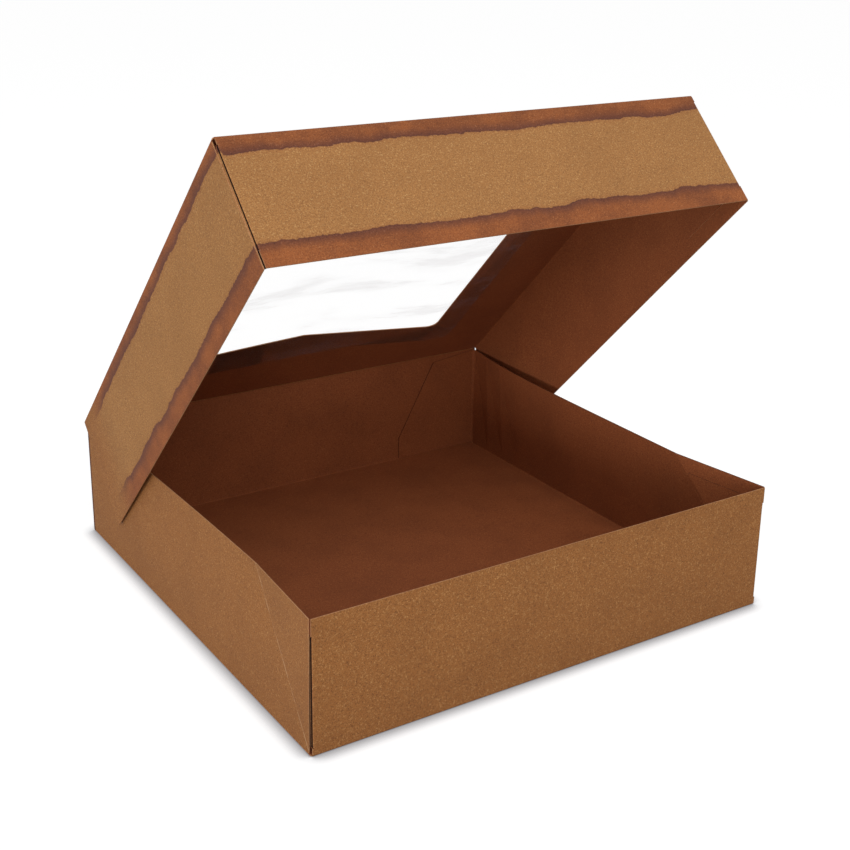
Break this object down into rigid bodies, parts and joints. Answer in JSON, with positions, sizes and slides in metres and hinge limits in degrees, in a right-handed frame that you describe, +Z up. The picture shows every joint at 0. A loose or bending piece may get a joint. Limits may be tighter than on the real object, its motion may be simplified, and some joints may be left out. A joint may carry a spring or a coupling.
{
  "type": "pie box",
  "caption": "Square kraft board box with a full-depth hinged lid, glued corners and a clear film window in the lid, for holding a pie or cake.",
  "frame": {"origin": "middle of the box at the underside of the tray, where it stands", "axes": "+X to the right as seen from the front wall, +Y from the front wall to the back wall with the hinge, +Z up"},
  "size_m": [0.2568, 0.254, 0.2456],
  "materials": {
    "kraft_tray": "matte",
    "kraft_lid": "matte",
    "clear_film": "gloss"
  },
  "bodies": {
    "tray_body": {"tray": "kraft_tray"},
    "lid_body": {"lid": "kraft_lid", "window_film": "clear_film"}
  },
  "joints": [
    {"name": "lid_hinge", "type": "hinge", "parent": "tray_body", "child": "lid_body", "pos_m": [0, 0.12675, 0.06465], "axis": [-1, 0, 0], "range_deg": [-45.2, 134.8]}
  ]
}
